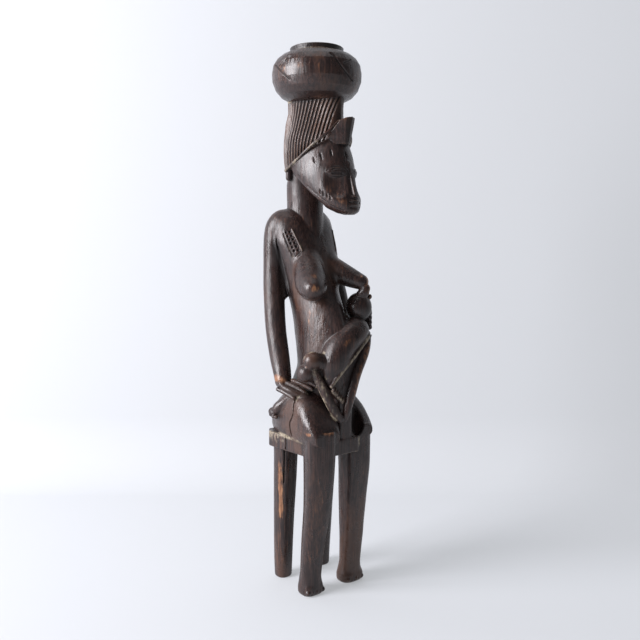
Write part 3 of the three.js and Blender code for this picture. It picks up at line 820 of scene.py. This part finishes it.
def carve_scars(block, side):
    """A patch on each side of the chest: two rows of pits between a groove and a raised edge."""
    corners = np.array([(-43.3, 13.2, 465.6), (-34, 6.6, 472.2), (-37.3, 0.7, 436.4), (-27.6, -8.3, 442.9)])
    corners[:, 0] *= -side

    def on_patch(down, over, lift=0.0):
        left = corners[0] + (corners[2] - corners[0]) * down
        right = corners[1] + (corners[3] - corners[1]) * down
        return tuple(on_skin(block, left + (right - left) * over, lift))

    raised = [(*on_patch(down, 1.0, 0.2), 1.1) for down in (0.0, 0.33, 0.66, 1.0)]
    pits = []
    for row in range(6):
        for over, shift in ((0.36, 0.02), (0.70, 0.07)):
            down = shift + row * 0.158
            for part in (0.0, 0.03):
                pits.append([(*on_patch(down + part, over + reach, -0.5), 1.25) for reach in (-0.07, 0.07)])
    border = [on_patch(down, 0.06) for down in (-0.02, 0.33, 0.66, 1.04)]
    ticks = [[on_patch(1.06 + 0.09 * i, 0.25 + 0.1 * i), on_patch(1.0 + 0.09 * i, 0.85)] for i in range(3)]
    block.add(limb(raised, per_span=2), 0.5)
    for pit in pits:
        block.cut(limb(pit, per_span=1), 0.2)
    block.cut(engraved(border, 1.0), 0.3)
    for tick in ticks:
        block.cut(engraved(tick, 0.55, per_span=2), 0.3)


CRACKS = [
    ([(-28.2, -8.4, 336), (-28.9, -8.6, 322), (-28.6, -8.8, 303.4)], 0.9),
    ([(-46.8, -27.2, 262.7), (-48, -23.5, 251.9), (-54.6, -25.5, 237.7), (-55.5, -19.1, 226.3),
      (-54.9, -19.3, 215.8), (-53.2, -19.6, 208)], 1.25),
    ([(-52.5, -13, 205.5), (-53, -3, 204.5), (-53, -2, 195), (-52.6, -1, 186)], 1.1),
    ([(-43, 12, 184), (-43, 13, 160), (-42.6, 14.5, 136)], 1.0),
]


def carve_cracks(block):
    """Drying cracks down the body, the thigh, the seat and the rear right leg."""
    for places, radius in CRACKS:
        sunk = [tuple(on_skin(block, place, -0.7)) for place in places]
        block.cut(engraved(sunk, radius), 0.2)


def carve_figure():
    block = Block((-68, -80, -4), (66, 62, 704))
    block.add(torso())
    block.add(thigh(-1, KNEE_FRONT["right"], 0), 3.0)
    block.add(thigh(1, KNEE_FRONT["left"], 11), 3.0)
    block.add(seat(), 0.8)
    for side, knee, outward, turn in ((-1, "right", 0, -25), (1, "left", 2, 0)):
        block.add(shin(side, KNEE_FRONT[knee], outward, turn), 0.8)
        carve_foot(block, side, outward)
        block.add(rear_post(side), 1.2)
    block.add(web(), 1.5)
    block.cut(ball((24, -51, 229), (13, 17, 25)), 2.5)
    block.add(neck(), 0.8)
    carve_arms(block)
    carve_breasts(block)
    carve_child(block)
    carve_right_hand(block)
    carve_left_hand(block)
    block.add(bowl(), 0.6)
    carve_bowl_lines(block)
    block.add(hair(), 0.8)
    carve_face(block)
    for side in (-1, 1):
        block.add(hairline_cord(side), 0.6)
        block.add(nape_lock(side), 0.8)
        carve_scars(block, side)
    carve_cracks(block)
    return block


def surface_of(block):
    """The points and four-sided faces of the surface where the field is zero."""
    field = block.field
    inside = field < 0
    shape = np.array(field.shape)
    crossed = np.zeros(field.shape, bool)
    crossings = []
    for axis in range(3):
        here = [slice(None)] * 3
        there = [slice(None)] * 3
        here[axis] = slice(0, -1)
        there[axis] = slice(1, None)
        at = np.argwhere(inside[tuple(here)] != inside[tuple(there)])
        step = np.eye(3, dtype=np.int64)[axis]
        near = field[tuple(at.T)]
        far = field[tuple((at + step).T)]
        point = at + step * (near / (near - far))[:, None]
        others = [k for k in range(3) if k != axis]
        corners = []
        for du, dv in ((0, 0), (1, 0), (1, 1), (0, 1)):
            cell = at.copy()
            cell[:, others[0]] -= du
            cell[:, others[1]] -= dv
            corners.append(cell)
            crossed[tuple(cell.T)] = True
        entering = ~inside[tuple(at.T)] ^ (axis == 1)
        crossings.append((point, corners, entering))
    number = np.cumsum(crossed.reshape(-1)) - 1
    count = int(number[-1]) + 1
    total = np.zeros((count, 3))
    share = np.zeros(count)
    quads = []
    for point, corners, entering in crossings:
        ids = [number[np.ravel_multi_index(cell.T, shape)] for cell in corners]
        for vertex in ids:
            for k in range(3):
                total[:, k] += np.bincount(vertex, point[:, k], count)
            share += np.bincount(vertex, minlength=count)
        quad = np.array(ids).T
        quad[entering] = quad[entering][:, ::-1]
        quads.append(quad)
    points = block.low + GRID * total / share[:, None]
    return points, np.vstack(quads)


def settle(block, points, rounds=2):
    """Moves points onto the surface itself."""
    for _ in range(rounds):
        slope = block.slope(points)
        size = np.maximum((slope * slope).sum(axis=1), 0.1)
        points = points - slope * np.clip(block.sample(points) / size, -GRID, GRID)[:, None]
    return points


def mesh_from(name, points, quads):
    mesh = bpy.data.meshes.new(name)
    mesh.vertices.add(len(points))
    mesh.vertices.foreach_set("co", ((points + FOOTPRINT_SHIFT) * MM).astype(np.float32).reshape(-1))
    mesh.loops.add(quads.size)
    mesh.loops.foreach_set("vertex_index", quads.astype(np.int32).reshape(-1))
    mesh.polygons.add(len(quads))
    mesh.polygons.foreach_set("loop_start", np.arange(0, quads.size, 4, dtype=np.int32))
    mesh.update(calc_edges=True)
    return mesh


def points_of(mesh):
    flat = np.empty(len(mesh.vertices) * 3, np.float32)
    mesh.vertices.foreach_get("co", flat)
    return flat.reshape(-1, 3).astype(float) / MM - FOOTPRINT_SHIFT


def softened(values, passes, reach):
    """The values averaged over a box, again and again, which is close to a round blur."""
    for _ in range(passes):
        for axis in range(3):
            padded = np.concatenate([
                np.repeat(values.take([0], axis), reach + 1, axis), values,
                np.repeat(values.take([-1], axis), reach, axis)], axis)
            total = np.cumsum(padded, axis, dtype=np.float64)
            size = 2 * reach + 1
            end = values.shape[axis]
            high = total.take(range(size, size + end), axis)
            low = total.take(range(0, end), axis)
            values = ((high - low) / size).astype(np.float32)
    return values


def paint(mesh, name, values):
    layer = mesh.attributes.new(name, "FLOAT", "POINT")
    layer.data.foreach_set("value", values.astype(np.float32))


def reach_of(points, marks):
    """How strongly each point is marked. A mark is a line of places, its reach and its strength."""
    amount = np.zeros(len(points))
    for route, reach, strength in marks:
        route = np.asarray(route, float)
        if len(route) == 1:
            route = np.vstack([route, route])
        nearest = np.full(len(points), 1e9)
        for start, end in zip(route[:-1], route[1:]):
            run = end - start
            t = np.clip((points - start) @ run / max(run @ run, 1e-9), 0, 1)
            nearest = np.minimum(nearest, np.linalg.norm(points - start - t[:, None] * run, axis=1))
        part = np.clip(1.3 - nearest / reach, 0, 1)
        amount = np.maximum(amount, strength * part * part * (3 - 2 * part))
    return amount


def ring(radius, z, count=16):
    """A level circle about the bowl's axis."""
    turns = np.linspace(0, 2 * math.pi, count + 1)
    return [(radius * math.cos(t), BOWL["y"] + radius * math.sin(t), z) for t in turns]


def head_route(*stops):
    return [on_head(*stop) for stop in stops]


def both_sides(stops, reach, strength):
    """The same mark on the left and the right of the head."""
    return [
        (head_route(*[(side * across, ahead, z) for across, ahead, z in stops]), reach, strength)
        for side in (-1, 1)
    ]


def hair_top():
    """The line in which the hair meets the underside of the bowl."""
    line = []
    for t in np.linspace(0, 2 * math.pi, 25):
        ahead = math.cos(t)
        front = (1 + ahead) / 2
        line.append(on_head(30.5 * math.sin(t), 9 + (47.5 if ahead > 0 else 35.5) * ahead, 632 + 9 * front))
    return line


# Marks on the wood and patches of painted shade: the places that each one runs through, how far it reaches,
# and its strength.
MARKS = {
    "rubbed": [
        ([(-41.8, -52.5, 398.5)], 5.5, 0.9), ([(-36, -46, 412)], 6, 0.45), ([(-28, -38, 422)], 6, 0.3),
        ([(41, -50, 407), (43, -53, 400), (40, -53, 393)], 6, 0.9), ([(36, -52, 411)], 5, 0.5),
        ([(-57, 7, 281), (-55, -2, 277)], 6.5, 0.85), ([(-52, -10, 273)], 5, 0.5),
        ([(-45, -42, 301), (-40, -46, 300)], 4.5, 0.8), ([(2, -70, 335), (-6, -69, 326)], 4, 0.5),
        ([(-55.5, -52, 218), (-54.5, -58, 218.5), (-47, -64, 219.5)], 2.8, 0.8),
        ([(-47, -64, 219.5), (-38, -68.5, 219.5), (-25, -70.5, 219)], 1.9, 0.65),
        ([(-10.6, -57, 510.2), (-4.6, -61.4, 504)], 5, 0.25),
        ([(-27.5, -21.5, 378), (-28, -21.5, 350)], 2.4, 0.75),
        ([(-46.5, 17.9, 160), (-44, 20, 90)], 4.0, 0.75),
        ([(38, -62, 322), (20, -67, 290), (9, -68, 258)], 6.5, 0.45), ([(-56, 12, 232)], 6, 0.4),
        ([(-44, -37, 668), (-55, -7, 664)], 5, 0.35), ([(50, -50, 384)], 4, 0.5),
    ],
    "warm": [
        ([(-32, -49, 665)], 16, 0.9), ([(-50, -25, 668), (-56, 5, 664)], 14, 0.9),
        ([(-27, -21, 375), (-27, -21, 335)], 12, 0.8), ([(-52.5, 20, 196), (-51, 0, 192)], 12, 1.0),
        ([(-46, 18, 170), (-43, 22, 30)], 14, 1.0), ([(-42, -62, 150), (-40, -50, 60)], 18, 0.7),
        ([(33, -50, 180), (33, -40, 20)], 18, 0.6), ([(4, -60, 250), (8, -60, 205)], 10, 0.8),
        ([(-52, 30, 480), (-14, 4, 481)], 16, 0.5), ([(-18, -40, 300), (5, -68, 340)], 14, 0.5),
        ([(-20, -50, 515), (0, -70, 500)], 18, 0.6), ([(26, -36, 418)], 14, 0.6),
        ([(20, -58, 300), (10, -60, 250)], 8, 0.6), ([(38, -44, 372)], 18, 0.5),
    ],
    "dust": [
        (hair_top(), 3.0, 1.0),
        *both_sides(
            [(33, -13, 545), (37, 3, 552), (38, 20, 561), (35, 38, 573), (24, 52, 586)], 3.0, 0.7),
        (head_route((-22, 52, 589), (-13, 58, 598), (-6, 66, 606)), 2.2, 0.6),
        ([(-43, -44, 288), (-38, -47.5, 277), (-31.5, -53, 261), (-24, -57.5, 243), (-14, -61, 231)],
         2.6, 1.0),
        ([(-47, -41, 311), (-41, -43.5, 317.5), (-33, -45, 319.5), (-25, -48, 318), (-18, -54, 309)],
         3.4, 0.9),
        ([(-41, -50, 297), (-33, -53, 278), (-24, -59, 255), (-14, -63.5, 239)], 7, 0.5),
        ([(-32, -52, 297), (-24, -54, 286)], 4, 0.5),
        ([(-21, -61, 271), (-12, -62, 262), (-5, -63, 254)], 3.5, 0.85),
        ([(38, -63, 334), (13, -66, 311), (-9, -66, 291), (-24, -64, 275)], 2.8, 1.0),
        ([(-53.5, 34, 205), (-53, 20, 205), (-50, -20, 205), (-47, -50, 205)], 4.5, 1.0),
        ([(26, -59, 188), (26, -59, 204)], 2.4, 0.8), ([(-10, -60.5, 185.5), (25, -60, 185.5)], 2.2, 0.8),
        ([(-51, -25, 257), (-40, -31, 265), (-29, -43, 273)], 4.0, 0.6),
        ([(-14, -64, 205), (-13, -62, 150)], 2, 0.4),
        ([(-43, 12, 467), (-37, 0, 436)], 3, 0.35), ([(-34, 6, 472), (-27.6, -8.3, 442.9)], 3, 0.45),
        (ring(33.6, 692), 1.6, 0.7),
    ],
    # painted shade: near-black patches where shade falls, in the trench under each arm, the bowl's collar
    # and underside, the crest's front, the child's head, the shaded left arm, the panel, the hollow by the
    # left thigh, under the breasts and hands, and at the eyes and cheeks
    "painted_shade": [
        ([(-46, 25, 452), (-42, 23, 440), (-37, 22, 415), (-33, 18, 385), (-32, 14, 368)], 11, 1.0),
        (ring(33, 696.5), 4.0, 0.9), (ring(45, 638), 8.5, 0.35),
        (head_route((0, 75, 606), (0, 69, 579)), 6.5, 0.7), ([(41, -44, 366)], 21, 0.85),
        ([(46, 12, 378), (46, 16, 398)], 18, 0.9), ([(22, -61, 302), (1, -61, 266)], 6.5, 0.7),
        ([(24, -49, 232)], 19, 0.9), ([(33, -56, 228), (31, -57, 210)], 8, 0.8),
        ([(-30, -44, 382), (-18, -36, 388)], 6, 0.6), ([(8, -24, 410), (24, -40, 398)], 8, 0.6),
        ([(-25, -36, 283), (-45, -24, 280)], 7, 0.7), (head_route((-6, 55, 640), (-6, 57, 612)), 7, 0.5),
        ([(-34, 0, 300), (-40, 8, 285)], 7, 0.5), ([(-20, -55, 292)], 8, 0.85),
        *both_sides([(7, 71, 541), (22, 62, 541)], 8, 0.5), *both_sides([(18, 64, 530)], 13, 0.4),
        ([(-52, -12, 268), (-38, -28, 263)], 13, 0.75),
    ],
}


def figure():
    """The carving as one mesh, with the amounts that the wood's material reads at each point."""
    block = carve_figure()
    points, quads = surface_of(block)
    points = settle(block, points)
    whole = bpy.data.objects.new("figure_full", mesh_from("figure_full", points, quads))
    bpy.context.collection.objects.link(whole)
    thinner = whole.modifiers.new("fewer faces", "DECIMATE")
    thinner.ratio = min(1.0, TRIANGLES / (2 * len(quads)))
    made = bpy.data.meshes.new_from_object(whole.evaluated_get(bpy.context.evaluated_depsgraph_get()))
    full = whole.data
    bpy.data.objects.remove(whole)
    bpy.data.meshes.remove(full)
    made.name = "figure"
    vertices = points_of(made)
    field = np.clip(block.field, -FIELD_LIMIT, FIELD_LIMIT)
    fine = softened(field, 2, max(1, round(FINE_BLUR / GRID)))
    broad = softened(fine, 2, max(1, round(BROAD_BLUR / GRID)))
    at_fine = block.sample(vertices, fine)
    paint(made, "edge", at_fine - block.sample(vertices))
    paint(made, "form", block.sample(vertices, broad) - at_fine)
    for name, marks in MARKS.items():
        paint(made, name, reach_of(vertices, marks))
    made.shade_smooth()
    normals = block.slope(vertices, 0.75)
    normals /= np.maximum(np.linalg.norm(normals, axis=1), 1e-6)[:, None]
    own = np.empty(len(vertices) * 3, np.float32)
    made.vertex_normals.foreach_get("vector", own)
    own = own.reshape(-1, 3)
    agrees = (normals * own).sum(axis=1) > 0.6
    made.normals_split_custom_set_from_vertices(np.where(agrees[:, None], normals, own))
    obj = bpy.data.objects.new("figure", made)
    bpy.context.collection.objects.link(obj)
    return obj


class Bench:
    """Adds nodes to one tree and joins them."""

    def __init__(self, tree):
        self.tree = tree

    def node(self, kind, **settings):
        made = self.tree.nodes.new(kind)
        for name, value in settings.items():
            setattr(made, name, value)
        return made

    def put(self, socket, value):
        if isinstance(value, bpy.types.NodeSocket):
            self.tree.links.new(value, socket)
        elif isinstance(value, tuple) and len(value) == 3 and socket.type == "RGBA":
            socket.default_value = (*value, 1)
        else:
            socket.default_value = value

    def noise(self, scale, detail, stretch=(1, 1, 1), roughness=0.55):
        place = self.node("ShaderNodeTexCoord")
        mapping = self.node("ShaderNodeMapping")
        mapping.inputs["Scale"].default_value = stretch
        self.put(mapping.inputs[0], place.outputs["Object"])
        made = self.node("ShaderNodeTexNoise")
        self.put(made.inputs["Scale"], scale)
        self.put(made.inputs["Detail"], detail)
        self.put(made.inputs["Roughness"], roughness)
        self.put(made.inputs["Vector"], mapping.outputs[0])
        return made.outputs[0]

    def step(self, source, low, high):
        """Zero below low, one above high, and a soft step between."""
        made = self.node("ShaderNodeMapRange", interpolation_type="SMOOTHSTEP")
        self.put(made.inputs["Value"], source)
        self.put(made.inputs["From Min"], low)
        self.put(made.inputs["From Max"], high)
        return made.outputs[0]

    def maths(self, operation, *values):
        made = self.node("ShaderNodeMath", operation=operation)
        for socket, value in zip(made.inputs, values):
            self.put(socket, value)
        return made.outputs[0]

    def mixed(self, share, first, second):
        made = self.node("ShaderNodeMix", data_type="RGBA")
        self.put(made.inputs[0], share)
        self.put(made.inputs[6], first)
        self.put(made.inputs[7], second)
        return made.outputs[2]

    def attribute(self, name):
        return self.node("ShaderNodeAttribute", attribute_name=name).outputs["Fac"]

    def group(self, tree, **values):
        made = self.node("ShaderNodeGroup", node_tree=tree)
        for name, value in values.items():
            self.put(made.inputs[name], value)
        return made.outputs


def effect(name, inputs, outputs):
    """An empty node group with these inputs and outputs, and a bench to fill it."""
    tree = bpy.data.node_groups.new(name, "ShaderNodeTree")
    for label, value in inputs.items():
        tree.interface.new_socket(label, in_out="INPUT", socket_type="NodeSocketFloat").default_value = value
    for label in outputs:
        tree.interface.new_socket(label, in_out="OUTPUT", socket_type="NodeSocketFloat")
    bench = Bench(tree)
    return bench, bench.node("NodeGroupInput").outputs, bench.node("NodeGroupOutput").inputs


def patchy():
    """A mask broken up by blotches, so that wear, dust and brown clouds end raggedly."""
    bench, given, result = effect("patchy", {"Amount": 0.5, "Scale": 90.0, "Raggedness": 0.8}, ["Mask"])
    blotches = bench.maths("SUBTRACT", bench.noise(given["Scale"], 6.0, (1, 1, 0.6), 0.62), 0.5)
    spread = bench.maths("MULTIPLY", given["Raggedness"], 2.0)
    broken = bench.maths("MULTIPLY_ADD", blotches, spread, given["Amount"])
    kept = bench.step(given["Amount"], 0.02, 0.25)
    bench.put(result["Mask"], bench.maths("MULTIPLY", bench.step(broken, 0.2, 0.85), kept))
    return bench.tree


def old_grain():
    """Upright streaks in the wood's tone, and the fine height of grain, pores and knife marks."""
    bench, given, result = effect("old grain", {"Scale": 400.0}, ["Tone", "Height"])
    streaks = bench.noise(given["Scale"], 4.0, (1, 1, 0.045), 0.62)
    threads = bench.noise(bench.maths("MULTIPLY", given["Scale"], 2.3), 3.0, (1, 1, 0.06), 0.6)
    facets = bench.noise(bench.maths("MULTIPLY", given["Scale"], 0.28), 2.0, (1, 1, 0.5), 0.5)
    main_streaks = bench.maths("MULTIPLY", streaks, 0.65)
    bench.put(result["Tone"], bench.maths("MULTIPLY_ADD", threads, 0.35, main_streaks))
    fine = bench.maths("MULTIPLY_ADD", threads, 0.35, bench.maths("MULTIPLY", streaks, 0.4))
    bench.put(result["Height"], bench.maths("MULTIPLY_ADD", facets, 1.2, fine))
    return bench.tree


def dark_wood():
    """Old handled wood: near black, brown in streaks, worn to orange tan, dusty in its creases, and darkened
    by painted shade in its hollows and shaded places.
    """
    material = bpy.data.materials.new("dark_wood")
    material.use_nodes = True
    shader = material.node_tree.nodes["Principled BSDF"]
    bench = Bench(material.node_tree)
    ragged = patchy()
    grain = bench.group(old_grain(), Scale=400.0)
    edge = bench.attribute("edge")
    hollow = bench.step(bench.maths("MULTIPLY", edge, -1.0), 0.05, 0.38)
    crown = bench.step(edge, 0.10, 0.42)
    sunk = bench.step(bench.maths("MULTIPLY", bench.attribute("form"), -1.0), 0.05, 0.9)

    streak = bench.step(grain["Tone"], 0.42, 0.60)
    colour = bench.mixed(streak, (0.017, 0.0100, 0.0095), (0.046, 0.0245, 0.0205))
    clouds = bench.step(bench.noise(16.0, 4.0, (1, 1, 0.35)), 0.45, 0.68)
    brown = bench.group(ragged, Amount=clouds, Scale=120.0)
    colour = bench.mixed(bench.maths("MULTIPLY", brown["Mask"], 0.65), colour, (0.082, 0.040, 0.026))
    thread = bench.maths("MULTIPLY", bench.step(grain["Tone"], 0.54, 0.68), bench.attribute("warm"))
    colour = bench.mixed(bench.maths("MULTIPLY", thread, 0.75), colour, (0.20, 0.085, 0.038))
    crown_worn = bench.group(ragged, Amount=crown, Scale=160.0)
    colour = bench.mixed(bench.maths("MULTIPLY", crown_worn["Mask"], 0.5), colour, (0.145, 0.080, 0.050))
    rubbed = bench.group(ragged, Amount=bench.attribute("rubbed"), Scale=190.0, Raggedness=0.9)
    tan = bench.mixed(streak, (0.17, 0.066, 0.030), (0.38, 0.19, 0.095))
    colour = bench.mixed(bench.maths("MULTIPLY", rubbed["Mask"], 0.9), colour, tan)
    # painted shade: the colour is darkened towards near black in creases and broad hollows, where shade
    # falls; the same mask also dulls the roughness there
    shade_in_hollows = bench.maths("MAXIMUM", hollow, bench.maths("MULTIPLY", sunk, 0.45))
    colour = bench.mixed(bench.maths("MULTIPLY", shade_in_hollows, 0.85), colour, (0.006, 0.004, 0.004))
    # painted shade: the colour is darkened to near black at the marked places in shadow
    painted_shade = bench.maths("MULTIPLY", bench.attribute("painted_shade"), 0.85)
    colour = bench.mixed(painted_shade, colour, (0.007, 0.005, 0.005))
    zone = bench.attribute("dust")
    caught = bench.maths("MULTIPLY", zone, bench.maths("MULTIPLY_ADD", hollow, 0.45, 0.55))
    dust = bench.group(ragged, Amount=caught, Scale=260.0, Raggedness=0.75)
    colour = bench.mixed(bench.maths("MULTIPLY", dust["Mask"], 0.85), colour, (0.44, 0.37, 0.27))
    bench.put(shader.inputs["Base Color"], colour)

    polish = bench.step(bench.noise(48.0, 5.0), 0.36, 0.66)
    rough = bench.maths("MULTIPLY_ADD", polish, 0.18, 0.25)
    dull = bench.maths("MAXIMUM", dust["Mask"], bench.maths("MULTIPLY", shade_in_hollows, 0.8))
    bench.put(shader.inputs["Roughness"], bench.maths("MULTIPLY_ADD", dull, 0.4, rough))
    bump = bench.node("ShaderNodeBump")
    bump.inputs["Strength"].default_value = 0.48
    bump.inputs["Distance"].default_value = 0.0012
    bench.put(bump.inputs["Height"], grain["Height"])
    bench.put(shader.inputs["Normal"], bump.outputs[0])
    return material


def build_stage():
    """A white floor that curves up into a wall."""
    wide = 3.0
    bend = 0.12
    wall = 0.33
    turns = [math.pi / 2 * i / 24 for i in range(25)]
    curve = [(wall + bend * math.sin(t), bend - bend * math.cos(t)) for t in turns]
    rows = [(-3.0, 0.0), *curve, (wall + bend, 2.1)]
    away = Vector((0.602, 0.799, 0))
    beside = Vector((0.799, -0.602, 0))
    points = [
        away * forward + beside * side + Vector((0, 0, up)) for forward, up in rows for side in (-wide, wide)
    ]
    faces = [(2 * i, 2 * i + 1, 2 * i + 3, 2 * i + 2) for i in range(len(rows) - 1)]
    mesh = bpy.data.meshes.new("floor")
    mesh.from_pydata(points, [], faces)
    mesh.shade_smooth()
    floor = bpy.data.objects.new("floor", mesh)
    bpy.context.collection.objects.link(floor)
    material = bpy.data.materials.new("white_floor")
    material.use_nodes = True
    shader = material.node_tree.nodes["Principled BSDF"]
    shader.inputs["Base Color"].default_value = (0.36, 0.37, 0.39, 1)
    shader.inputs["Roughness"].default_value = 0.9
    shader.inputs["Specular IOR Level"].default_value = 0.1
    shader.inputs["Emission Color"].default_value = (0.95, 0.97, 1.0, 1)
    shader.inputs["Emission Strength"].default_value = 0.36
    mesh.materials.append(material)


def soft_light(name, place, aim, size, watts, colour):
    data = bpy.data.lights.new(name, "AREA")
    data.shape = "ELLIPSE"
    data.size, data.size_y = size
    data.energy = watts
    data.color = colour
    light = bpy.data.objects.new(name, data)
    light.location = place
    light.rotation_euler = (Vector(aim) - Vector(place)).to_track_quat("-Z", "Y").to_euler()
    bpy.context.collection.objects.link(light)


def build_lights():
    soft_light("window", (-1.84, 0.45, 1.0), (0, 0, 0.38), (1.2, 1.6), 82, (0.98, 0.965, 1.0))
    soft_light("far window", (1.6, -0.3, 0.9), (0, 0, 0.38), (0.7, 1.4), 6, (0.86, 0.90, 1.0))
    soft_light("overhead", (-0.1, 0.0, 2.3), (0, 0, 0.2), (1.6, 1.6), 9, (0.97, 0.98, 1.0))
    world = bpy.data.worlds.new("studio")
    world.use_nodes = True
    background = world.node_tree.nodes["Background"]
    background.inputs[0].default_value = (0.93, 0.95, 1.0, 1)
    background.inputs[1].default_value = 0.14
    bpy.context.scene.world = world
    bpy.context.scene.view_settings.view_transform = "Standard"


def build_camera():
    distance = 0.970
    height = 0.454
    focal_px = 739.0
    aim_right_px = 4
    picture_px = 640
    sensor = 36
    azimuth = math.radians(-37)
    pitch = math.radians(5.95)
    place = Vector((math.sin(azimuth) * distance, -math.cos(azimuth) * distance, height))
    heading = math.atan2(-place.y, -place.x) - aim_right_px / focal_px
    level = math.cos(pitch)
    look = Vector((math.cos(heading) * level, math.sin(heading) * level, -math.sin(pitch)))
    data = bpy.data.cameras.new("camera")
    data.sensor_width = sensor
    data.lens = sensor * focal_px / picture_px
    camera = bpy.data.objects.new("camera", data)
    camera.location = place + Vector(FOOTPRINT_SHIFT) * MM
    camera.rotation_euler = look.to_track_quat("-Z", "Y").to_euler()
    bpy.context.collection.objects.link(camera)
    bpy.context.scene.camera = camera


carving = figure()
carving.data.materials.append(dark_wood())
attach(carving, "root")
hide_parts("maternity_figure")
build_stage()
build_lights()
build_camera()
